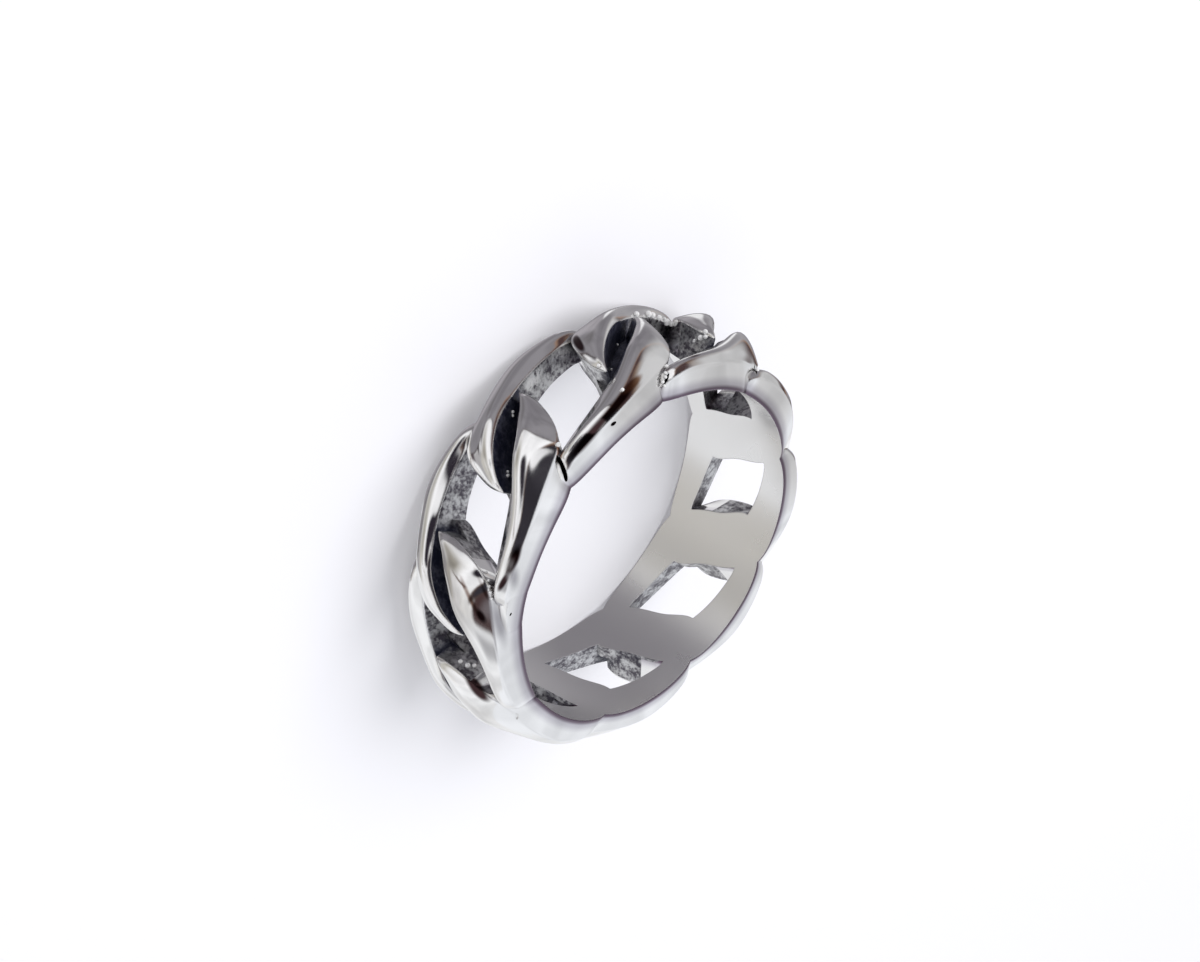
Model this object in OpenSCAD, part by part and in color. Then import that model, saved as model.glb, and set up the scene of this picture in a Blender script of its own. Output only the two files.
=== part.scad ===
// Cast curb-link band ring: nine links round a plain bore, each link made of two domed legs
// that twist past the legs of its neighbours, with a pierced opening inside every link.
// The ring lies on its side: the bore runs along Z and the origin is the centre of the bore.

/* [Band] */
// Inside diameter of the ring
bore_d = 17; // [14:0.5:21]
// Width of the band along the bore
band_w = 6.5; // [5:0.25:8]
// Number of links round the band
link_count = 9; // [8:1:10]

/* [Links] */
// Height of the highest point of a link above the bore
crown_h = 2.35; // [1.8:0.05:2.8]
// Height of the floor between two lobes above the bore
groove_floor_h = 0.7; // [0.4:0.05:1]
// How far an opening's wall leans into the opening, from its top to the bore
wall_lean = 0.25; // [0.1:0.05:0.5]
// Steps from one row of the leg table to the next
steps_per_row = 2; // [1:1:2]

/* [Hidden] */

bore_r = bore_d / 2;
half_w = band_w / 2;
link_deg = 360 / link_count;
// How far inside the bore the legs start, before it is bored out
root_depth = 0.1;
root_r = bore_r - root_depth;
bore_over = 1;

// One leg, row by row from its thin start to the tip of its lobe. along = place round the
// band in link lengths, across = place over the band in half widths, height = part of crown_h.
// The inner edge looks on the opening and the groove, the outer edge is the shoulder or the lip
// of the lobe, and the foot is where the side below the outer edge meets the bore.
// The ridge lies between the edges: ridge_at = where, from 0 at the inner edge to 1 at the outer,
// ridge_h = its height before rounding, and round = how much of the top is rounded, from 0 for
// two flat facets to 1 for a dome.
IN_ALONG = 0;
IN_ACROSS = 1;
IN_HEIGHT = 2;
OUT_ALONG = 3;
OUT_ACROSS = 4;
OUT_HEIGHT = 5;
FOOT_ALONG = 6;
FOOT_ACROSS = 7;
RIDGE_AT = 8;
RIDGE_H = 9;
ROUND = 10;
leg_table = [
  // inner edge: along, across, height; outer edge: the same; foot: along, across; ridge: at, h, round
  [0.000, 0.56, 0.22,  -0.090, 0.74, 0.12,  -0.090, 0.84,  0.50, 0.30, 0.50],
  [0.120, 0.64, 0.44,   0.040, 0.88, 0.40,   0.030, 0.94,  0.52, 0.59, 0.40],
  [0.250, 0.64, 0.51,   0.225, 0.93, 0.50,   0.225, 0.99,  0.56, 0.69, 0.35],
  [0.400, 0.61, 0.55,   0.400, 0.95, 0.53,   0.400, 1.00,  0.56, 0.72, 0.35],
  [0.550, 0.56, 0.60,   0.560, 0.94, 0.54,   0.560, 1.00,  0.54, 0.76, 0.40],
  [0.700, 0.48, 0.67,   0.730, 0.88, 0.54,   0.730, 0.99,  0.43, 0.86, 0.50],
  [0.825, 0.37, 0.77,   0.890, 0.80, 0.54,   0.880, 0.96,  0.33, 1.03, 0.65],
  [0.930, 0.26, 0.87,   1.020, 0.73, 0.55,   1.000, 0.88,  0.27, 1.16, 0.80],
  [1.030, 0.14, 0.90,   1.130, 0.65, 0.61,   1.090, 0.72,  0.24, 1.18, 0.90],
  [1.120, 0.00, 0.90,   1.225, 0.45, 0.69,   1.150, 0.40,  0.24, 1.14, 0.95],
  [1.200,-0.15, 0.85,   1.290, 0.07, 0.72,   1.225, 0.04,  0.31, 1.00, 0.95],
  [1.257,-0.30, 0.79,   1.304,-0.20, 0.73,   1.250,-0.22,  0.40, 0.89, 0.95],
  [1.280,-0.38, 0.74,   1.290,-0.36, 0.74,   1.265,-0.36,  0.50, 0.75, 0.95]
];

// Facets in the rounded part of a leg's top
round_facets = 3;

// The floor that joins the lobes under a groove: where it begins and ends along the band,
// in link lengths from the middle of the groove, at places across in half widths
FLOOR_ACROSS = 0;
FLOOR_FROM = 1;
FLOOR_TO = 2;
floor_table = [
  // across, from, to
  [ 0.75, -0.25, 0.06],
  [ 0.45, -0.34, 0.15],
  [ 0.20, -0.30, 0.20],
  [ 0.00, -0.24, 0.24],
  [-0.20, -0.20, 0.30],
  [-0.45, -0.15, 0.34],
  [-0.75, -0.06, 0.25]
];

// A smooth curve through four neighbouring rows
function through(p0, p1, p2, p3, f) =
  0.5 * (2 * p1 + (p2 - p0) * f + (2 * p0 - 5 * p1 + 4 * p2 - p3) * f * f
    + (3 * p1 - p0 - 3 * p2 + p3) * f * f * f);

last_row = len(leg_table) - 1;

// The table past its ends, carried on in a straight line
function row(i) =
  i < 0 ? 2 * leg_table[0] - leg_table[1]
  : i > last_row ? 2 * leg_table[last_row] - leg_table[last_row - 1]
  : leg_table[i];

stations = [
  for (i = [0 : last_row - 1], s = [0 : steps_per_row - 1])
    through(row(i - 1), row(i), row(i + 1), row(i + 2), s / steps_per_row),
  leg_table[last_row]
];

// A point of the band. Along runs clockwise in link lengths from the groove where a link starts,
// and the middle of the link, at 0.5, lies on +X.
function band_point(along, z, r) =
  let (turn = -(along - 0.5) * link_deg)
  [r * cos(turn), r * sin(turn), z];

function mix(a, b, c) = a + (b - a) * c;

// A point over the line from the inner edge to the outer one: c = where between them
function top_point(s, c, height) =
  band_point(
    mix(s[IN_ALONG], s[OUT_ALONG], c),
    mix(s[IN_ACROSS], s[OUT_ACROSS], c) * half_w,
    bore_r + crown_h * height
  );

// The top of a section from edge to edge, with the ridge rounded by a curve under it
function top_points(s) =
  let (
    edge_in = [0, s[IN_HEIGHT]],
    edge_out = [1, s[OUT_HEIGHT]],
    ridge = [s[RIDGE_AT], s[RIDGE_H]],
    start = mix(ridge, edge_in, s[ROUND]),
    end = mix(ridge, edge_out, s[ROUND]),
    curve = [for (i = [0 : round_facets])
      let (t = i / round_facets) mix(mix(start, ridge, t), mix(ridge, end, t), t)]
  )
  [for (p = concat([edge_in], curve, [edge_out])) top_point(s, p[0], p[1])];

// The inner wall leans away from the outer edge on its way down
function inner_root(s) =
  let (
    link_len = link_deg * PI / 180 * bore_r,
    step = [(s[IN_ALONG] - s[OUT_ALONG]) * link_len, (s[IN_ACROSS] - s[OUT_ACROSS]) * half_w],
    lean = wall_lean * step / max(norm(step), 0.01)
  )
  band_point(s[IN_ALONG] + lean[0] / link_len, s[IN_ACROSS] * half_w + lean[1], root_r);

function outer_root(s) = band_point(s[FOOT_ALONG], s[FOOT_ACROSS] * half_w, root_r);

function section(s) = concat([inner_root(s)], top_points(s), [outer_root(s)]);

// A solid through a row of sections, each a loop of the same number of points
module loft(sections) {
  sides = len(sections[0]);
  last = (len(sections) - 1) * sides;
  points = [for (loop = sections) for (p = loop) p];
  walls = [
    for (start = [0 : sides : last - sides], j = [0 : sides - 1])
      let (a = start + j, b = start + (j + 1) % sides, c = a + sides, d = b + sides)
      each [[a, d, b], [a, c, d]]
  ];
  caps = [for (j = [1 : sides - 2]) each [[0, j, j + 1], [last, last + j + 1, last + j]]];
  polyhedron(points = points, faces = concat(walls, caps));
}

// One leg of a link, from its thin start under the last lobe to the tip of its own lobe
module leg() loft([for (s = stations) section(s)]);

// The solid floor of the groove where the link starts
module groove_floor() {
  top_r = bore_r + groove_floor_h;
  loft([
    for (f = floor_table)
      let (z = f[FLOOR_ACROSS] * half_w)
      [band_point(f[FLOOR_FROM], z, root_r), band_point(f[FLOOR_FROM], z, top_r),
       band_point(f[FLOOR_TO], z, top_r), band_point(f[FLOOR_TO], z, root_r)]
  ]);
}

// A link is one leg and the same leg turned half round about the middle of the link
module link() {
  leg();
  rotate([180, 0, 0]) leg();
  groove_floor();
}

// All links as one casting, brought to the stated width, then bored through
module curb_band() {
  color("silver")
    difference() {
      resize([0, 0, band_w])
        union() {
          for (k = [0 : link_count - 1]) rotate([0, 0, -k * link_deg]) link();
        }
      cylinder(r = bore_r, h = band_w + 2 * bore_over, center = true, $fn = 96);
    }
}

curb_band();
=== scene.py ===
import math
import random

import bmesh
import bpy
import numpy as np
from mathutils import Matrix, Quaternion, Vector


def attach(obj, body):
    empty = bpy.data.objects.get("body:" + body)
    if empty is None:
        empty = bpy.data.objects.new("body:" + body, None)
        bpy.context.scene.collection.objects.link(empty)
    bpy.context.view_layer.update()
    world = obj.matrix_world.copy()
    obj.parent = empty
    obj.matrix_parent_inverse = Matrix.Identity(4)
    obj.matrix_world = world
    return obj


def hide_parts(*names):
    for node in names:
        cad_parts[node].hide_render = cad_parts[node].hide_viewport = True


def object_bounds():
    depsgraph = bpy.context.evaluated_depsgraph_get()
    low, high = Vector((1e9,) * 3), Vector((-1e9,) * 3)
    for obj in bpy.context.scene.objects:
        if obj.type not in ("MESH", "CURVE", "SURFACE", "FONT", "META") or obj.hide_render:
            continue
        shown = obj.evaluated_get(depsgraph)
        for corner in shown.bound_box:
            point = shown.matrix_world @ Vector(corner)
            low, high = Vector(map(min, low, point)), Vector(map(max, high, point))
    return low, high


# Cast curb-link band ring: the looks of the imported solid, under soft light on a pale floor.
# Sizes are in millimetres and angles in degrees, unless a note says otherwise.

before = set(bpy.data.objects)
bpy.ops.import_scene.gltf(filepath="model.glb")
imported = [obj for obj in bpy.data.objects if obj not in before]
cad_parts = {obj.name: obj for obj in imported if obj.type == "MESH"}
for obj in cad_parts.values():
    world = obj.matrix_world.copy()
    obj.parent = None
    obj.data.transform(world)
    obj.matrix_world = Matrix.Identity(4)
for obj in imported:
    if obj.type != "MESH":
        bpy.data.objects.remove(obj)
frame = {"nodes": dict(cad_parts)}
cadLow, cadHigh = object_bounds()
mm = 0.001              # in metres, which Blender works in
print("frame loaded, nodes:", ", ".join(frame["nodes"]))


# objects and meshes

def addObject(name, mesh):
    thing = bpy.data.objects.new(name, mesh)
    bpy.context.scene.collection.objects.link(thing)
    return thing


def shapeObject(name, shape):
    # a drawn shape becomes an object that carries every finish
    bmesh.ops.recalc_face_normals(shape, faces=shape.faces)
    mesh = bpy.data.meshes.new(name)
    shape.to_mesh(mesh)
    shape.free()
    for finish in finishes:
        mesh.materials.append(finish)
    return addObject(name, mesh)


def solidFrom(name, points, faces, material):
    # material has the number of the finish of each face
    shape = bmesh.new()
    corners = [shape.verts.new(p) for p in points]
    for face, index in zip(faces, material):
        shape.faces.new([corners[i] for i in face]).material_index = index
    return shapeObject(name, shape)


def keepMesh(thing):
    # what the modifiers make becomes the mesh
    graph = bpy.context.evaluated_depsgraph_get()
    old = thing.data
    made = bpy.data.meshes.new_from_object(thing.evaluated_get(graph))
    thing.modifiers.clear()
    thing.data = made
    bpy.data.meshes.remove(old)


def combine(thing, other, how):
    # how is UNION or DIFFERENCE
    step = thing.modifiers.new("combine", "BOOLEAN")
    step.operation = how
    step.solver = "MANIFOLD"
    step.object = other
    keepMesh(thing)
    bpy.data.objects.remove(other)


def copyTurned(thing, turn):
    twin = addObject(thing.name + "Copy", thing.data.copy())
    twin.data.transform(turn)
    return twin


# camera, at the angle of the photo

camera = {
    "place": (81.85, -22.81, 57.28),        # from the centre of the bore
    "lookAt": (2.285, -2.212, 0.0),
    "roll": 122.05,
    "lens": 65.81,
    "sensor": 36.0,
    "nearest": 1,
    "farthest": 5000,
}


def makeCamera():
    lens = bpy.data.cameras.new("photoCamera")
    lens.lens = camera["lens"]
    lens.sensor_width = camera["sensor"]
    lens.clip_start = camera["nearest"] * mm
    lens.clip_end = camera["farthest"] * mm
    holder = bpy.data.objects.new("photoCamera", lens)
    bpy.context.scene.collection.objects.link(holder)
    place = Vector(camera["place"])
    aim = Vector(camera["lookAt"]) - place
    holder.location = place * mm
    roll = Quaternion((0, 0, 1), math.radians(camera["roll"]))
    holder.rotation_mode = "QUATERNION"
    holder.rotation_quaternion = aim.to_track_quat("-Z", "Y") @ roll
    bpy.context.scene.camera = holder


makeCamera()
print("camera set")


# the ring, in millimetres until it is finished

ring = {
    "boreRadius": 8.5,
    "width": 6.5,
    "links": 9,
    "crown": 2.35,              # highest point of a link above the bore
    "grooveFloor": 0.7,
    "wallLean": 0.25,           # how far an opening's wall leans into the opening
    "buried": 0.1,              # how far a leg starts below the bore
    "footTuck": 0.35,           # how far the rim rounds inwards at the bore
    "edgeBlur": 0.055,          # softness of the lips and shoulders
    "roughTipFrom": 1.15,       # place along a leg, in link lengths, where its side is left rough
    "sharpAngle": 32,
    # how finely it is sampled
    "legStations": 100,
    "fillStations": 24,
    "floorStations": 30,
    "floorSteps": 7,
    "crestSteps": 24,
    "boreSides": 360,
    "boreOver": 1,              # how far the boring tool stands out of the band
    # points beside a corner of a cut, in blurs, and points between corners on its four sides:
    # the opening's wall, the top, the side below the outer edge, and the tuck at the foot
    "cornerPoints": (0.35, 1.0, 1.8, 2.8),
    "sidePoints": (1, 11, 2, 0),
}
linkTurn = 2 * math.pi / ring["links"]
linkLength = linkTurn * ring["boreRadius"]
halfWidth = ring["width"] / 2
scaleRow = np.array([linkLength, halfWidth, ring["crown"]])     # of along, across and height


def bandPoint(p):
    # from along, across and height, all in millimetres, to a point round the bore
    turn = -(p[0] / linkLength - 0.5) * linkTurn
    r = ring["boreRadius"] + p[2]
    return (r * math.cos(turn), r * math.sin(turn), p[1])


def placeOf(spot):
    # along in link lengths, across and height in millimetres
    along, across, height = spot
    return Vector(bandPoint((along * linkLength, across, height)))


# finishes, all made of nodes

silver = {
    "colour": (0.93, 0.925, 0.92, 1),
    "tarnishAndShade": (0.10, 0.085, 0.09, 1),      # tarnish and painted shade in the tight corners
    "cornerReach": 0.45,
    "cornerOpen": (0.15, 0.62),             # share of open sky, from tarnished to clean
    "paintedRimLine": (0.16, 0.12, 0.16, 1),           # painted shade: mauve line where the rim meets the bore
    "rimReach": (0.08, 0.30),               # outwards from the bore
    "paintedRimBand": (0.60, 0.58, 0.62, 1),      # painted shade: softer grey outside the line
    "shadeReach": (0.25, 0.75),
    "creaseSoft": 0.08,
    "roughLow": 0.045,
    "roughHigh": 0.11,
    "roughPatch": 2.4,
    "boreRough": 0.22,                      # added to the above inside the bore
    "waveSize": 1.6,
    "waveHeight": 0.004,
    "scratchSize": 0.12,
    "scratchDrawn": (1, 1, 0.25),           # scratches are drawn out along the bore
    "scratchHeight": 0.0004,
}

# Brown marks, dark tarnish, painted dark reflections and painted grey shade on the polish, where
# the photo shows them.
# Each is an oval drawn out between two places: from, to, half width, softness of its edge and
# colour.
# A place is along in link lengths, and across and height in millimetres.
darkBrown = (0.055, 0.030, 0.032)
copper = (0.42, 0.17, 0.07)
stainsAndPaintedReflections = [
    # painted dark reflection down the leg below the second link's lobe, with its brown end
    ((1.10, 2.80, 1.22), (1.46, 2.88, 1.44), 0.22, 0.35, darkBrown),
    ((1.36, 2.93, 1.38), (1.76, 2.56, 1.58), 0.22, 0.35, darkBrown),
    ((1.66, 2.62, 1.54), (1.84, 2.42, 1.58), 0.17, 0.40, (0.32, 0.19, 0.12)),
    # hook on the lobe across the groove from it
    ((1.835, -1.72, 1.68), (1.745, -0.42, 1.91), 0.20, 0.25, darkBrown),
    # flame on the near lobe
    ((0.22, -0.10, 2.15), (-0.15, 1.72, 2.12), 0.50, 0.70, (0.50, 0.48, 0.46)),
    ((0.132, 1.15, 2.10), (-0.03, 2.02, 1.80), 0.11, 0.5, (0.18, 0.08, 0.045)),
    ((0.20, 1.42, 1.68), (0.06, 2.24, 1.42), 0.10, 0.5, (0.14, 0.07, 0.06)),
    ((-0.02, 2.00, 1.76), (-0.10, 2.36, 1.52), 0.15, 0.5, darkBrown),
    # flame below the last seen opening
    ((-0.71, 0.60, 1.52), (-0.85, 1.90, 1.72), 0.26, 0.35, darkBrown),
    # painted copper glint beside the crack
    ((1.16, 1.98, 1.50), (1.09, 2.45, 1.30), 0.12, 0.5, copper),
    # thin line along the leg after it
    ((2.05, 2.52, 1.20), (2.33, 2.62, 1.60), 0.10, 0.4, (0.12, 0.05, 0.045)),
    # end of the painted dark reflection down the leg before the crack
    ((0.48, 2.95, 1.36), (0.30, 2.92, 1.34), 0.20, 0.4, darkBrown),
    ((0.30, 2.92, 1.34), (0.15, 2.70, 1.43), 0.13, 0.4, darkBrown),
    # painted grey shade wedges on the side rail
    ((0.03, 2.42, 1.20), (-0.24, 2.95, 0.88), 0.24, 0.8, (0.42, 0.41, 0.43)),
    ((0.36, 2.86, 1.40), (0.20, 3.08, 0.86), 0.22, 0.8, (0.50, 0.49, 0.51)),
]

# Painted highlights on the rough walls of the openings, in the same columns
paintedWallHighlights = [
    ((1.34, -1.60, 1.05), (1.56, -1.90, 1.15), 0.38, 0.6, (1.0, 1.0, 1.0)),
]

castSkin = {
    "light": (0.66, 0.66, 0.67, 1),
    "dark": (0.11, 0.10, 0.12, 1),
    "castMix": (0.40, 0.60),                # levels of the grain, from dark to light
    # levels of the grain where the painted highlights show
    "paintedHighlightMix": (0.38, 0.50),
    "shade": (0.035, 0.033, 0.045, 1),      # where two walls meet
    "cornerReach": 0.9,
    "cornerOpen": (0.2, 0.6),
    "grainSize": 0.55,
    "grainShare": 0.65,
    "grainHeight": 0.04,
    "speckSize": 0.16,
    "speckShare": 0.35,
    "rough": 0.36,
    # tarnish in the grooves, dull where it lies thick
    "black": (0.018, 0.020, 0.040, 1),
    "blackWorn": (0.085, 0.088, 0.120, 1),
    "blackMix": (0.44, 0.62),
    "blackRough": 0.30,
    "blackMetal": 0.15,
    "blackReach": (0.18, 0.27),             # from the groove's middle, in link lengths
    "blackWander": 0.10,
    "grooveSlant": 0.20,                    # link lengths from the middle of the band to its edge
}
# the beads are near white and barely metallic: a painted glint
beadGlintLook = {
    "dark": (0.90, 0.90, 0.88, 1),
    "light": (1, 1, 1, 1),
    "patch": 0.15,
    "metal": 0.2,
    "rough": 0.25,
}
flawLook = {
    "dark": (0.01, 0.01, 0.014, 1),
    "light": (0.05, 0.035, 0.03, 1),
    "patch": 0.1,
    "metal": 1,
    "rough": 0.45,
}
cornerSamples = 3       # rays that look for corners and creases, few because they cost time
creaseSamples = 2


def newMaterial(name):
    material = bpy.data.materials.new(name)
    material.use_nodes = True
    tree = material.node_tree
    return material, tree, tree.nodes["Principled BSDF"]


def addNode(tree, kind, inputs=None, **settings):
    node = tree.nodes.new("ShaderNode" + kind)
    for key, value in settings.items():
        setattr(node, key, value)
    for key, value in (inputs or {}).items():
        if hasattr(value, "is_output"):
            tree.links.new(value, node.inputs[key])
        else:
            node.inputs[key].default_value = value
    return node


def placeOnObject(tree):
    return addNode(tree, "TexCoord").outputs["Object"]


def noiseOf(tree, where, size, detail=2.0, rough=0.5):
    settings = {"Vector": where, "Scale": 1 / (size * mm), "Detail": detail, "Roughness": rough}
    return addNode(tree, "TexNoise", settings).outputs["Fac"]


def spread(tree, value, low, high, outLow=0.0, outHigh=1.0):
    settings = {
        "Value": value, "From Min": low, "From Max": high, "To Min": outLow, "To Max": outHigh}
    return addNode(tree, "MapRange", settings, interpolation_type="SMOOTHSTEP").outputs[0]


def blendColours(tree, share, first, second):
    settings = {"Factor": share, "A": first, "B": second}
    return addNode(tree, "Mix", settings, data_type="RGBA").outputs["Result"]


def mathOf(tree, operation, *values):
    node = addNode(tree, "Math", operation=operation)
    for i, value in enumerate(values):
        if hasattr(value, "is_output"):
            tree.links.new(value, node.inputs[i])
        else:
            node.inputs[i].default_value = value
    return node.outputs[0]


def squareLength(tree, a, b):
    # length of two parts at right angles
    squares = [mathOf(tree, "MULTIPLY", part, part) for part in (a, b)]
    return mathOf(tree, "SQRT", mathOf(tree, "ADD", *squares))


def openness(tree, look):
    # 0 in tight corners, 1 on open metal
    corner = addNode(
        tree, "AmbientOcclusion", {"Distance": look["cornerReach"] * mm},
        samples=cornerSamples, only_local=True)
    return spread(tree, corner.outputs["AO"], *look["cornerOpen"])


def addStainOrPaintedLight(tree, where, colour, markOval):
    # one oval of colour, for stains and for painted reflections, shade and highlights
    start, end, wide, soft, tone = markOval
    a, b = placeOf(start), placeOf(end)
    toward = (b - a).to_track_quat("X", "Z").to_euler()
    half = (b - a).length / 2
    local = addNode(tree, "Mapping", {
        "Vector": where,
        "Location": (a + b) / 2 * mm,
        "Rotation": toward,
        "Scale": Vector((half, wide, wide)) * mm}, vector_type="TEXTURE").outputs[0]
    far = addNode(tree, "VectorMath", {0: local}, operation="LENGTH").outputs["Value"]
    return blendColours(tree, spread(tree, far, 1 + soft, 1 - soft), colour, (*tone, 1))


def polishedSilver(name, onTop=True, roughPlus=0.0):
    # onTop adds what only the outside of the band has: the painted shade along the rim, and the
    # stains and painted reflections
    material, tree, shader = newMaterial(name)
    where = placeOnObject(tree)
    # tarnish and painted shade: darker where the metal lies in tight corners
    colour = blendColours(tree, openness(tree, silver), silver["tarnishAndShade"], silver["colour"])
    if onTop:
        place = addNode(tree, "SeparateXYZ", {"Vector": where})
        out = squareLength(tree, place.outputs["X"], place.outputs["Y"])
        # painted shade along the rim: a soft grey band, then a mauve line at the bore
        for tone, reach in (("paintedRimBand", "shadeReach"), ("paintedRimLine", "rimReach")):
            start, end = [(ring["boreRadius"] + r) * mm for r in silver[reach]]
            colour = blendColours(tree, spread(tree, out, start, end), silver[tone], colour)
        # stains, painted reflections and painted shade, one oval each
        for markOval in stainsAndPaintedReflections:
            colour = addStainOrPaintedLight(tree, where, colour, markOval)
    tree.links.new(colour, shader.inputs["Base Color"])
    patch = noiseOf(tree, where, silver["roughPatch"], 3)
    low, high = silver["roughLow"] + roughPlus, silver["roughHigh"] + roughPlus
    tree.links.new(spread(tree, patch, 0.3, 0.7, low, high), shader.inputs["Roughness"])
    # softened creases carry slow waves, and those carry fine scratches
    crease = addNode(
        tree, "Bevel", {"Radius": silver["creaseSoft"] * mm}, samples=creaseSamples)
    wave = addNode(tree, "Bump", {
        "Height": noiseOf(tree, where, silver["waveSize"], 1),
        "Distance": silver["waveHeight"] * mm,
        "Normal": crease.outputs[0]})
    drawn = addNode(tree, "Mapping", {"Vector": where, "Scale": silver["scratchDrawn"]}).outputs[0]
    scratch = addNode(tree, "Bump", {
        "Height": noiseOf(tree, drawn, silver["scratchSize"], 3, 0.7),
        "Distance": silver["scratchHeight"] * mm,
        "Normal": wave.outputs[0]})
    tree.links.new(scratch.outputs[0], shader.inputs["Normal"])
    shader.inputs["Metallic"].default_value = 1
    return material


def outsideGroove(tree, where, grain):
    # 0 in a groove, 1 outside it: the groove runs aslant over the band, with a ragged edge
    place = addNode(tree, "SeparateXYZ", {"Vector": where})
    turn = mathOf(tree, "ARCTAN2", place.outputs["Y"], place.outputs["X"])
    links = mathOf(tree, "ADD", mathOf(tree, "DIVIDE", turn, -linkTurn), 0.5 + ring["links"])
    near = mathOf(tree, "SUBTRACT", mathOf(tree, "FRACT", mathOf(tree, "ADD", links, 0.5)), 0.5)
    perMetre = castSkin["grooveSlant"] / (halfWidth * mm)
    slant = mathOf(tree, "MULTIPLY", place.outputs["Z"], perMetre)
    off = mathOf(tree, "ABSOLUTE", mathOf(tree, "ADD", near, slant))
    level = mathOf(tree, "SUBTRACT", grain, 0.5)
    off = mathOf(tree, "ADD", off, mathOf(tree, "MULTIPLY", level, castSkin["blackWander"]))
    return spread(tree, off, *castSkin["blackReach"])


def rawCastSilver():
    # speckled walls of the openings, with painted highlights and painted shade where two walls
    # meet, turning black inside the grooves
    material, tree, shader = newMaterial("rawCastSilver")
    where = placeOnObject(tree)
    grain = noiseOf(tree, where, castSkin["grainSize"], 5, 0.65)
    speck = noiseOf(tree, where, castSkin["speckSize"], 2, 0.6)
    both = mathOf(
        tree, "ADD", mathOf(tree, "MULTIPLY", grain, castSkin["grainShare"]),
        mathOf(tree, "MULTIPLY", speck, castSkin["speckShare"]))
    cast, black, bright = [
        spread(tree, both, *castSkin[levels]) for levels in ("castMix", "blackMix", "paintedHighlightMix")]
    cast = blendColours(tree, cast, castSkin["dark"], castSkin["light"])
    black = blendColours(tree, black, castSkin["black"], castSkin["blackWorn"])
    # painted highlights, let through where the grain is light
    lit = cast
    for spot in paintedWallHighlights:
        lit = addStainOrPaintedLight(tree, where, lit, spot)
    cast = blendColours(tree, bright, cast, lit)
    cast = blendColours(tree, openness(tree, castSkin), castSkin["shade"], cast)
    clear = outsideGroove(tree, where, grain)
    tree.links.new(blendColours(tree, clear, black, cast), shader.inputs["Base Color"])
    for socket, inside, outside in (
            ("Roughness", castSkin["blackRough"], castSkin["rough"]),
            ("Metallic", castSkin["blackMetal"], 1)):
        tree.links.new(spread(tree, clear, 0.0, 1.0, inside, outside), shader.inputs[socket])
    bump = addNode(tree, "Bump", {"Height": both, "Distance": castSkin["grainHeight"] * mm})
    tree.links.new(bump.outputs[0], shader.inputs["Normal"])
    return material


def mottledMetal(name, look):
    # for the beads left by the casting, near white as a painted glint, and for the inside of pits
    # and cracks
    material, tree, shader = newMaterial(name)
    patch = noiseOf(tree, placeOnObject(tree), look["patch"])
    colour = blendColours(tree, patch, look["dark"], look["light"])
    tree.links.new(colour, shader.inputs["Base Color"])
    shader.inputs["Metallic"].default_value = look["metal"]
    shader.inputs["Roughness"].default_value = look["rough"]
    return material


finishes = [
    polishedSilver("polishedSilver"),
    rawCastSilver(),
    mottledMetal("blackFlaw", flawLook),
    polishedSilver("boreSilver", onTop=False, roughPlus=silver["boreRough"]),
    mottledMetal("paintedGlintBead", beadGlintLook),
]
polish, castWall, flaw, bore, bead = range(len(finishes))
print("finishes made")


# Each row is a cut through a leg, from its thin start to the tip of its lobe. Along is in link
# lengths from the groove where the link starts, across in half widths, height in parts of the
# crown. The ridge lies between the edges, from 0 at the inner one to 1 at the outer one.
legRows = [
    # inner edge: along, across, height; outer edge: the same; foot: along, across;
    # ridge: at, height, rounded
    (0.000, 0.56, 0.22, -0.090, 0.74, 0.12, -0.090, 0.84, 0.50, 0.30, 0.50),
    (0.120, 0.64, 0.44, 0.040, 0.88, 0.40, 0.030, 0.94, 0.52, 0.59, 0.40),
    (0.250, 0.64, 0.51, 0.225, 0.93, 0.50, 0.225, 0.99, 0.56, 0.69, 0.35),
    (0.400, 0.61, 0.55, 0.400, 0.95, 0.53, 0.400, 1.00, 0.56, 0.72, 0.35),
    (0.550, 0.56, 0.60, 0.560, 0.94, 0.54, 0.560, 1.00, 0.54, 0.76, 0.40),
    (0.700, 0.48, 0.67, 0.730, 0.88, 0.54, 0.730, 0.99, 0.43, 0.86, 0.50),
    (0.825, 0.37, 0.77, 0.890, 0.80, 0.54, 0.880, 0.96, 0.33, 1.03, 0.65),
    (0.930, 0.26, 0.87, 1.020, 0.73, 0.55, 1.000, 0.88, 0.27, 1.16, 0.80),
    (1.030, 0.14, 0.90, 1.130, 0.65, 0.61, 1.090, 0.72, 0.24, 1.18, 0.90),
    (1.120, 0.00, 0.90, 1.225, 0.45, 0.69, 1.150, 0.40, 0.24, 1.14, 0.95),
    (1.200, -0.15, 0.85, 1.290, 0.07, 0.72, 1.225, 0.04, 0.31, 1.00, 0.95),
    (1.257, -0.30, 0.79, 1.304, -0.20, 0.73, 1.250, -0.22, 0.40, 0.89, 0.95),
    (1.280, -0.38, 0.74, 1.290, -0.36, 0.74, 1.265, -0.36, 0.50, 0.75, 0.95),
]

# Low wedge that fills the notch in the rim at the near link, in the columns of a leg
fillRows = [
    (-0.300, 0.70, 0.22, -0.300, 0.90, 0.22, -0.300, 0.955, 0.50, 0.26, 0.60),
    (-0.150, 0.70, 0.34, -0.150, 0.91, 0.32, -0.150, 0.966, 0.50, 0.38, 0.60),
    (0.000, 0.70, 0.40, 0.000, 0.91, 0.38, 0.000, 0.970, 0.50, 0.44, 0.60),
    (0.120, 0.70, 0.40, 0.120, 0.91, 0.39, 0.120, 0.974, 0.50, 0.44, 0.60),
    (0.280, 0.70, 0.34, 0.280, 0.90, 0.34, 0.280, 0.970, 0.50, 0.38, 0.60),
]

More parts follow.
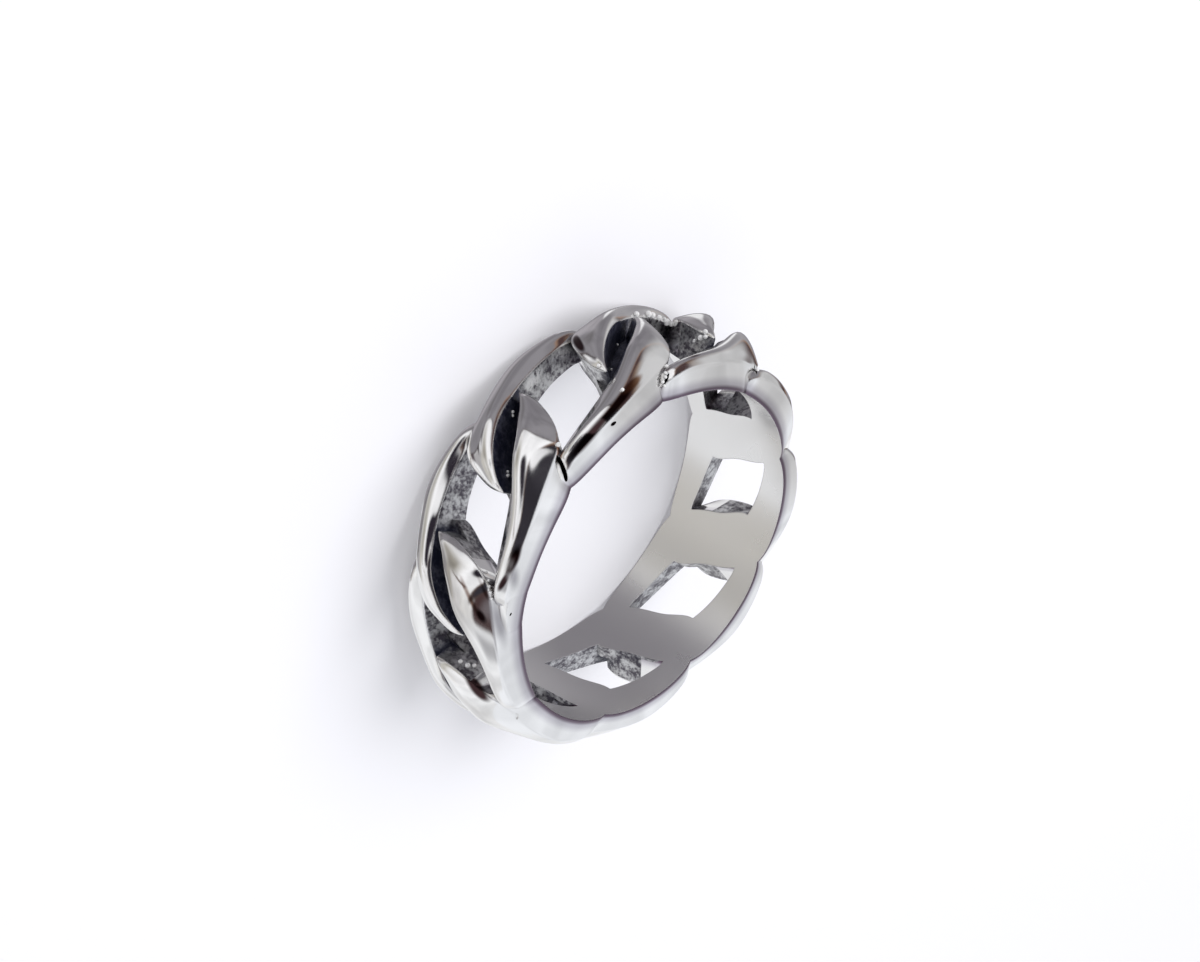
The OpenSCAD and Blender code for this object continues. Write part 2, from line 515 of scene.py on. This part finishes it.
# Floor of the groove: across, and where it begins and ends along the band
floorRows = [
    (0.75, -0.25, 0.06),
    (0.45, -0.34, 0.15),
    (0.20, -0.30, 0.20),
    (0.00, -0.24, 0.24),
    (-0.20, -0.20, 0.30),
    (-0.45, -0.15, 0.34),
    (-0.75, -0.06, 0.25),
]


def smoothRows(rows, spacing, count):
    # natural cubic curve through the rows, sampled evenly along its length
    table = np.array(rows)
    steps = np.linalg.norm(np.diff(table[:, :len(spacing)] * spacing, axis=0), axis=1)
    knots = np.concatenate([[0], np.cumsum(steps)])
    size = len(table)
    system = np.eye(size)
    right = np.zeros_like(table)
    for i in range(1, size - 1):
        before, after = steps[i - 1], steps[i]
        system[i, i - 1:i + 2] = before, 2 * (before + after), after
        right[i] = 6 * ((table[i + 1] - table[i]) / after - (table[i] - table[i - 1]) / before)
    bend = np.linalg.solve(system, right)
    out = []
    for spot in np.linspace(0, knots[-1], count):
        i = min(np.searchsorted(knots, spot, side="right") - 1, size - 2)
        h = steps[i]
        a = (knots[i + 1] - spot) / h
        b = (spot - knots[i]) / h
        pull = ((a ** 3 - a) * bend[i] + (b ** 3 - b) * bend[i + 1]) * h * h / 6
        out.append(a * table[i] + b * table[i + 1] + pull)
    return out


def cutCorners(row):
    # corner points of one cut: down the opening's wall, over the top, down the side, in at the bore
    innerEdge = row[0:3] * scaleRow
    outerEdge = row[3:6] * scaleRow
    footAlong, footAcross, ridgeAt, ridgeHeight, rounded = row[6:]
    ridge = innerEdge + (outerEdge - innerEdge) * ridgeAt
    ridge[2] = ridgeHeight * ring["crown"]
    away = innerEdge - outerEdge
    away[2] = 0
    away /= max(np.linalg.norm(away), 0.01)
    innerRoot = innerEdge + away * ring["wallLean"]
    innerRoot[2] = -ring["buried"]
    foot = np.array([footAlong * linkLength, footAcross * halfWidth, 0])
    tuck = innerRoot - foot
    tuck[2] = 0
    tuckLength = np.linalg.norm(tuck)
    tuckedFoot = foot + tuck * min(ring["footTuck"] / max(tuckLength, 0.01), 0.3)
    tuckedFoot[2] = -ring["buried"]
    start = ridge + (innerEdge - ridge) * rounded
    end = ridge + (outerEdge - ridge) * rounded
    crest = []
    for t in np.linspace(0, 1, ring["crestSteps"]):
        crest.append(start * (1 - t) ** 2 + ridge * 2 * t * (1 - t) + end * t * t)
    return np.array([innerRoot, innerEdge] + crest + [outerEdge, foot, tuckedFoot])


def cutSpots(corners):
    # lengths along a cut where it gets a point, close together beside its corners
    blur = ring["edgeBlur"]
    near = ring["cornerPoints"]
    spots = [0.0]
    lastSide = len(ring["sidePoints"]) - 1
    for side, between in enumerate(ring["sidePoints"]):
        low, high = corners[side], corners[side + 1]
        reach = min(1.0, 0.42 * (high - low) / (near[-1] * blur))
        if side > 0:
            spots += [low + n * blur * reach for n in near]
        if between:
            a = low + near[-1] * blur * reach
            b = high - near[-1] * blur * reach
            spots += list(np.linspace(a, b, between + 2)[1:-1])
        if side < lastSide:
            spots += [high - n * blur * reach for n in reversed(near)]
    return spots + [corners[-1]]


def legSection(row):
    # one cut, with its corners rounded by a soft average along the line
    line = cutCorners(row)
    lengths = np.linalg.norm(np.diff(line, axis=0), axis=1)
    run = np.concatenate([[0], np.cumsum(lengths)])
    shifts = np.linspace(-2, 2, 9)
    weights = np.exp(-shifts ** 2 / 2)
    weights /= weights.sum()
    points = []
    for spot in cutSpots([0, run[1], run[-3], run[-2], run[-1]]):
        room = min(spot, run[-1] - spot) / (2 * ring["edgeBlur"])
        width = ring["edgeBlur"] * min(1.0, room)
        p = np.zeros(3)
        for shift, weight in zip(shifts, weights):
            s = spot + shift * width
            p += weight * np.array([np.interp(s, run, line[:, k]) for k in range(3)])
        points.append(p)
    return points


def loftSolid(name, sections, sideMaterial, capMaterial):
    sides = len(sections[0])
    points = [bandPoint(p) for section in sections for p in section]
    faces = []
    material = []
    for i in range(len(sections) - 1):
        for j in range(sides):
            a = i * sides + j
            b = i * sides + (j + 1) % sides
            faces.append((a, b, b + sides, a + sides))
            material.append(sideMaterial(i, j))
    last = (len(sections) - 1) * sides
    faces += [tuple(range(sides)), tuple(range(last, last + sides))]
    material += [capMaterial, capMaterial]
    return solidFrom(name, points, faces, material)


def makeLeg():
    rows = smoothRows(legRows, np.tile(scaleRow, 2), ring["legStations"])
    near = len(ring["cornerPoints"])
    wall, top = ring["sidePoints"][:2]
    wallFaces = wall + near
    firstSideFace = wallFaces + top + 2 * near + 2

    def finishOf(i, j):
        # the tip's own side closes the next opening, and is left rough too
        atTip = rows[i][0] > ring["roughTipFrom"] and j >= firstSideFace
        return castWall if j < wallFaces or atTip else polish

    return loftSolid("leg", [legSection(row) for row in rows], finishOf, castWall)


def makeRimFill():
    # the side rail runs on without a notch under the near lobe
    rows = smoothRows(fillRows, np.tile(scaleRow, 2), ring["fillStations"])
    return loftSolid("rimFill", [legSection(row) for row in rows], lambda i, j: polish, polish)


def makeGrooveFloor():
    top, root = ring["grooveFloor"], -ring["buried"]
    sections = []
    for across, begin, end in smoothRows(floorRows, np.array([halfWidth]), ring["floorStations"]):
        y = across * halfWidth
        a, b = begin * linkLength, end * linkLength
        section = [(a, y, root)]
        for t in np.linspace(0, 1, ring["floorSteps"]):
            section.append((a + (b - a) * t, y, top))
        section.append((b, y, root))
        sections.append(section)
    return loftSolid("grooveFloor", sections, lambda i, j: castWall, castWall)


def makeBoreTool():
    sides = ring["boreSides"]
    radius = ring["boreRadius"]
    reach = halfWidth + ring["boreOver"]
    points = []
    for z in (-reach, reach):
        for i in range(sides):
            turn = 2 * math.pi * i / sides
            points.append((radius * math.cos(turn), radius * math.sin(turn), z))
    faces = [(i, (i + 1) % sides, (i + 1) % sides + sides, i + sides) for i in range(sides)]
    faces += [tuple(range(sides)), tuple(range(sides, 2 * sides))]
    return solidFrom("boreTool", points, faces, [bore] * len(faces))


def makeRing():
    link = makeLeg()
    halfTurn = Matrix.Rotation(math.pi, 4, "X")
    combine(link, copyTurned(link, halfTurn), "UNION")
    combine(link, makeGrooveFloor(), "UNION")
    print("one link:", len(link.data.polygons), "faces")
    band = addObject("curbRing", link.data.copy())
    for k in range(1, ring["links"]):
        combine(band, copyTurned(link, Matrix.Rotation(-k * linkTurn, 4, "Z")), "UNION")
    bpy.data.objects.remove(link)
    combine(band, makeRimFill(), "UNION")
    combine(band, makeBoreTool(), "DIFFERENCE")
    return band


# Casting flaws and beads that the photo shows, with a few like them on the hidden links.
# Along is in link lengths, across and height in millimetres.
flaws = {
    "seed": 7,
    "crackLong": 0.55,          # half length, as part of the way from start to end
    "pitLean": 0.3,             # pits lean outwards, away from the run of the band
    "beadSizes": (0.75, 1.2),   # smallest and largest in a row, as part of its radius
    "beadScatter": 0.4,
    # cracks down the side from a lobe's lip: start, end, half width, depth
    "cracks": [
        ((1.085, 2.30, 1.35), (0.990, 2.88, 0.50), 0.11, 0.30),
        ((2.075, 2.42, 1.15), (2.000, 2.78, 0.78), 0.06, 0.22),
        ((3.055, 2.24, 1.38), (3.035, 2.66, 1.06), 0.05, 0.18),
        ((5.085, -2.30, 1.35), (4.990, -2.88, 0.50), 0.09, 0.25),
        ((7.085, 2.30, 1.35), (6.990, 2.88, 0.50), 0.09, 0.25),
    ],
    # pits: along, across, height, long, wide, deep
    "pits": [
        (1.476, 3.12, 1.02, 0.17, 0.09, 0.14),
        (-0.030, 2.98, 0.67, 0.09, 0.045, 0.10),
        (5.20, -3.05, 0.95, 0.12, 0.08, 0.10),
    ],
    # one shallow dimple, polished like the band round it
    "dimples": [
        (-1.064, 2.56, 1.27, 0.24, 0.16, 0.07),
    ],
    # single beads left by the casting: along, across, height, radius
    "beads": [
        # behind the far lobe
        (2.411, -1.82, 1.56, 0.14),
        (2.573, -2.03, 1.45, 0.16),
        (2.623, -2.06, 1.40, 0.15),
        (2.713, -2.10, 1.30, 0.14),
        (2.797, -2.22, 1.30, 0.08),
        (2.808, -2.07, 1.20, 0.18),
        (2.836, -1.92, 1.22, 0.14),
        # in the next opening
        (2.694, 0.70, 1.80, 0.12),
        (2.694, 0.81, 1.60, 0.11),
        (2.695, 0.57, 1.45, 0.14),
        (2.713, 0.24, 1.17, 0.08),
        # at the lips and in the grooves
        (2.088, 2.29, 1.26, 0.10),
        (2.039, 2.56, 1.18, 0.075),
        (2.025, 2.67, 1.05, 0.08),
        (1.996, 2.70, 0.90, 0.09),
        (1.997, 2.82, 0.75, 0.07),
        (3.062, 2.48, 1.22, 0.10),
        (1.662, 2.56, 1.70, 0.09),
        (1.704, 0.82, 1.91, 0.10),
        (1.144, 2.08, 1.49, 0.12),
        (2.096, -0.78, 0.92, 0.06),
        (1.877, 0.30, 0.72, 0.07),
        (1.172, -1.09, 1.33, 0.08),
        (1.153, -1.02, 1.25, 0.07),
        (0.834, 0.43, 1.14, 0.07),
        (0.813, 0.58, 1.19, 0.09),
        # down the near lobe's edge
        (0.194, 1.60, 1.19, 0.06),
        (0.166, 1.94, 1.33, 0.07),
        (0.137, 2.11, 1.37, 0.06),
        (0.104, 2.24, 1.36, 0.07),
        (0.065, 2.33, 1.31, 0.06),
        # under the last seen opening
        (-0.711, -0.08, 1.23, 0.11),
        (-0.724, 0.29, 1.15, 0.13),
        (-0.743, 0.46, 0.93, 0.11),
    ],
    # rows of beads on the hidden links: from, to, how many, their radius
    "beadRows": [
        ((5.100, -2.36, 1.36), (5.030, -2.60, 1.00), 2, 0.07),
        ((7.090, 2.36, 1.36), (7.030, 2.60, 1.00), 2, 0.07),
    ],
}


def addBall(shape, place, along, side, out, index):
    # a ball stretched to three half sizes, with the finish of that number
    stretch = Matrix((along, side, out)).transposed().to_4x4()
    made = bmesh.ops.create_icosphere(
        shape, subdivisions=2, radius=1, matrix=Matrix.Translation(place) @ stretch)
    for vert in made["verts"]:
        for face in vert.link_faces:
            face.material_index = index


def addBead(shape, place, radius):
    along, side, out = [Vector(axis) * radius for axis in ((1, 0, 0), (0, 1, 0), (0, 0, 1))]
    addBall(shape, place, along, side, out, bead)


def outOf(spot):
    # outwards at a shoulder: half away from the bore, the rest along it
    place = placeOf(spot)
    away = Vector((place.x, place.y, 0)).normalized()
    return away * 0.5 + Vector((0, 0, math.copysign(0.85, spot[1])))


def makeCracksAndPits():
    shape = bmesh.new()
    for start, end, wide, deep in flaws["cracks"]:
        a, b = placeOf(start), placeOf(end)
        out = outOf(start).normalized()
        side = (b - a).cross(out).normalized()
        addBall(shape, (a + b) / 2, (b - a) * flaws["crackLong"], side * wide, out * deep, flaw)
    for rows, finish in ((flaws["pits"], flaw), (flaws["dimples"], polish)):
        for along, across, height, long, wide, deep in rows:
            place = placeOf((along, across, height))
            out = Vector((0, 0, math.copysign(1, across)))
            run = Vector((-place.y, place.x, 0)).normalized()
            away = Vector((place.x, place.y, 0)).normalized()
            run = (run + away * flaws["pitLean"]).normalized()
            addBall(shape, place, run * long, out.cross(run) * wide, out * deep, finish)
    return shapeObject("flawTool", shape)


def makeBeads():
    random.seed(flaws["seed"])
    shape = bmesh.new()
    for along, across, height, radius in flaws["beads"]:
        addBead(shape, placeOf((along, across, height)), radius)
    for start, end, count, radius in flaws["beadRows"]:
        for i in range(count):
            t = i / max(count - 1, 1)
            spot = [a + (b - a) * t for a, b in zip(start, end)]
            size = radius * random.uniform(*flaws["beadSizes"])
            scatter = flaws["beadScatter"]
            shift = Vector([random.uniform(-scatter, scatter) * radius for _ in range(3)])
            addBead(shape, placeOf(spot) + shift, size)
    return shapeObject("beads", shape)


curbRing = makeRing()
combine(curbRing, makeCracksAndPits(), "DIFFERENCE")
combine(curbRing, makeBeads(), "UNION")
print("ring bored:", len(curbRing.data.polygons), "faces")


def fitIntoCad(mesh):
    # soft edges swell by a few microns, so the mesh is brought back inside the CAD part's box
    corners = np.array([tuple(vertex.co) for vertex in mesh.vertices]) * mm
    low, high = corners.min(axis=0), corners.max(axis=0)
    inPlane = min(
        cadLow.x / low[0], cadLow.y / low[1], cadHigh.x / high[0], cadHigh.y / high[1], 1.0)
    upright = min(cadLow.z / low[2], cadHigh.z / high[2])
    mesh.transform(Matrix.Diagonal((inPlane * mm, inPlane * mm, upright * mm, 1)))
    print("fitted: in plane", round(inPlane, 5), "upright", round(upright, 5))


fitIntoCad(curbRing.data)
for face in curbRing.data.polygons:
    face.use_smooth = True
curbRing.data.set_sharp_from_angle(angle=math.radians(ring["sharpAngle"]))
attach(curbRing, "root")
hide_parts("curb_band")


# floor and light

floorLook = {
    "size": 1200,
    "colour": (0.80, 0.80, 0.83, 1),
    "rough": 0.6,
    "glow": 0.22,                # the floor is a light table
}


def makeFloor():
    half = floorLook["size"] / 2 * mm
    z = cadLow.z
    corners = [(-half, -half, z), (half, -half, z), (half, half, z), (-half, half, z)]
    mesh = bpy.data.meshes.new("floor")
    mesh.from_pydata(corners, [], [(0, 1, 2, 3)])
    floor = addObject("floor", mesh)
    material, tree, shader = newMaterial("paleFloor")
    shader.inputs["Base Color"].default_value = floorLook["colour"]
    shader.inputs["Roughness"].default_value = floorLook["rough"]
    shader.inputs["Emission Color"].default_value = floorLook["colour"]
    shader.inputs["Emission Strength"].default_value = floorLook["glow"]
    mesh.materials.append(material)
    floor.visible_glossy = False     # the silver mirrors the room, not the floor


makeFloor()
print("floor laid")

# What the silver mirrors: a white room with a grey side and some darker things. Each patch is
# an oval of the sky, and later ones lie over earlier ones.
room = {
    "base": (0.97, 0.97, 0.99),
    "strength": 1.0,
    "cloudScale": 3.0,
    "cloudDetail": 3.0,
    "cloudLevels": (0.82, 1.06),
    "patches": [
        # azimuth, elevation, half width, half height, tilt, softness of its edge, colour
        # greys low in the room
        (70, -50, 48, 18, 0, 0.35, (0.42, 0.41, 0.42)),
        (25, -32, 26, 12, 0, 0.60, (0.60, 0.58, 0.54)),
        (-12, -17, 20, 20, 0, 0.70, (0.40, 0.38, 0.34)),
        (-40, -55, 26, 13, 0, 0.30, (0.17, 0.16, 0.17)),
        (-30, -74, 30, 10, 0, 0.20, (0.05, 0.04, 0.045)),
        (148, -72, 30, 8, 0, 0.30, (0.10, 0.08, 0.09)),
        # grey side of the room with a dark edge
        (-113, -30, 61.5, 84, 0, 0.015, (0.06, 0.045, 0.045)),
        (-113, -30, 60, 82, 0, 0.02, (0.26, 0.25, 0.27)),
        (-150, -5, 22, 40, 0, 0.70, (0.40, 0.39, 0.41)),
        (-150, -64, 34, 12, 0, 0.60, (0.40, 0.38, 0.41)),
        (-142, -46, 20, 6, 0, 0.30, (0.95, 0.95, 0.97)),
        (-97, -24, 40, 20, 0, 0.90, (0.21, 0.20, 0.22)),
        (-60, -62, 14, 10, 0, 0.60, (0.19, 0.18, 0.19)),
        # things in front of the white
        (-22, 30, 14, 12, 0, 0.20, (0.03, 0.025, 0.035)),
        (11, 6, 1.6, 20, -12, 0.5, (0.10, 0.05, 0.03)),
        (24, 30, 1.6, 18, -40, 0.40, (0.20, 0.11, 0.07)),
        # the dark band with its brown edges
        (165, 57, 76, 76, 0, 0.02, (0.34, 0.22, 0.16)),
        (165, 57, 74, 74, 0, 0.02, (0.08, 0.048, 0.048)),
        (38, 28, 20, 15, 0, 0.15, (0.97, 0.97, 0.97)),
        (-113, 29, 9, 4, 0, 0.40, (0.21, 0.14, 0.10)),
        (-28, 56, 44, 13, 0, 0.10, (0.12, 0.07, 0.05)),
        (-28, 57, 42, 12, 0, 0.15, (0.035, 0.032, 0.04)),
        (-53, 46, 7, 7, 0, 0.15, (0.90, 0.90, 0.92)),
        (112, 5, 64.5, 64.5, 0, 0.05, (0.92, 0.93, 0.95)),
        (100, -8, 18, 26, 0, 0.60, (0.76, 0.76, 0.77)),
        (68, 38, 7, 9, 0, 0.60, (0.45, 0.45, 0.47)),
        (165, 50, 61, 61, 0, 0.02, (0.86, 0.88, 0.92)),
        (60, 64, 16, 9, 0, 0.70, (0.38, 0.37, 0.40)),
        (-152, 26, 34, 34, 0, 0.25, (0.60, 0.60, 0.61)),
    ],
}


def skyward(azimuth, elevation):
    a, e = math.radians(azimuth), math.radians(elevation)
    return Vector((math.cos(a) * math.cos(e), math.sin(a) * math.cos(e), math.sin(e)))


def makeRoom():
    world = bpy.data.worlds.new("room")
    world.use_nodes = True
    tree = world.node_tree
    where = addNode(tree, "TexCoord").outputs["Generated"]
    colour = addNode(tree, "RGB").outputs[0]
    colour.default_value = (*room["base"], 1)

    def along(axis):
        product = addNode(tree, "VectorMath", {0: where, 1: axis}, operation="DOT_PRODUCT")
        return product.outputs["Value"]

    for azimuth, elevation, wide, high, tilt, soft, tone in room["patches"]:
        ahead = skyward(azimuth, elevation)
        level = Vector((-ahead.y, ahead.x, 0)).normalized()
        side = Quaternion(ahead, math.radians(tilt)) @ level
        up = ahead.cross(side)
        side /= math.tan(math.radians(wide / 2))
        up /= math.tan(math.radians(high / 2))
        # the added bit keeps the division safe straight behind the patch
        behind = mathOf(tree, "ADD", along(ahead), 1.0001)
        far = mathOf(tree, "DIVIDE", squareLength(tree, along(side), along(up)), behind)
        colour = blendColours(tree, spread(tree, far, 1 + soft, 1 - soft), colour, (*tone, 1))
    cloud = addNode(tree, "TexNoise", {
        "Vector": where, "Scale": room["cloudScale"], "Detail": room["cloudDetail"]})
    light = spread(tree, cloud.outputs["Fac"], 0.3, 0.7, *room["cloudLevels"])
    clouded = addNode(tree, "VectorMath", {0: colour, "Scale": light}, operation="SCALE")
    back = tree.nodes["Background"]
    back.inputs["Strength"].default_value = room["strength"]
    tree.links.new(clouded.outputs["Vector"], back.inputs["Color"])
    bpy.context.scene.world = world


makeRoom()

# soft overhead light for the floor, kept out of the mirror
overhead = {
    "azimuth": -100,
    "elevation": 55,
    "distance": 500,
    "size": 500,
    "power": 1.8,               # watts
    "colour": (1, 0.99, 1),
}


def makeOverhead():
    lamp = bpy.data.lights.new("overhead", "AREA")
    lamp.shape = "DISK"
    lamp.size = overhead["size"] * mm
    lamp.energy = overhead["power"]
    lamp.color = overhead["colour"]
    holder = addObject("overhead", lamp)
    away = skyward(overhead["azimuth"], overhead["elevation"])
    holder.location = away * overhead["distance"] * mm
    holder.rotation_mode = "QUATERNION"
    holder.rotation_quaternion = (-away).to_track_quat("-Z", "Y")
    holder.visible_glossy = False


makeOverhead()
bpy.context.scene.view_settings.view_transform = "Standard"
print("room and light made")
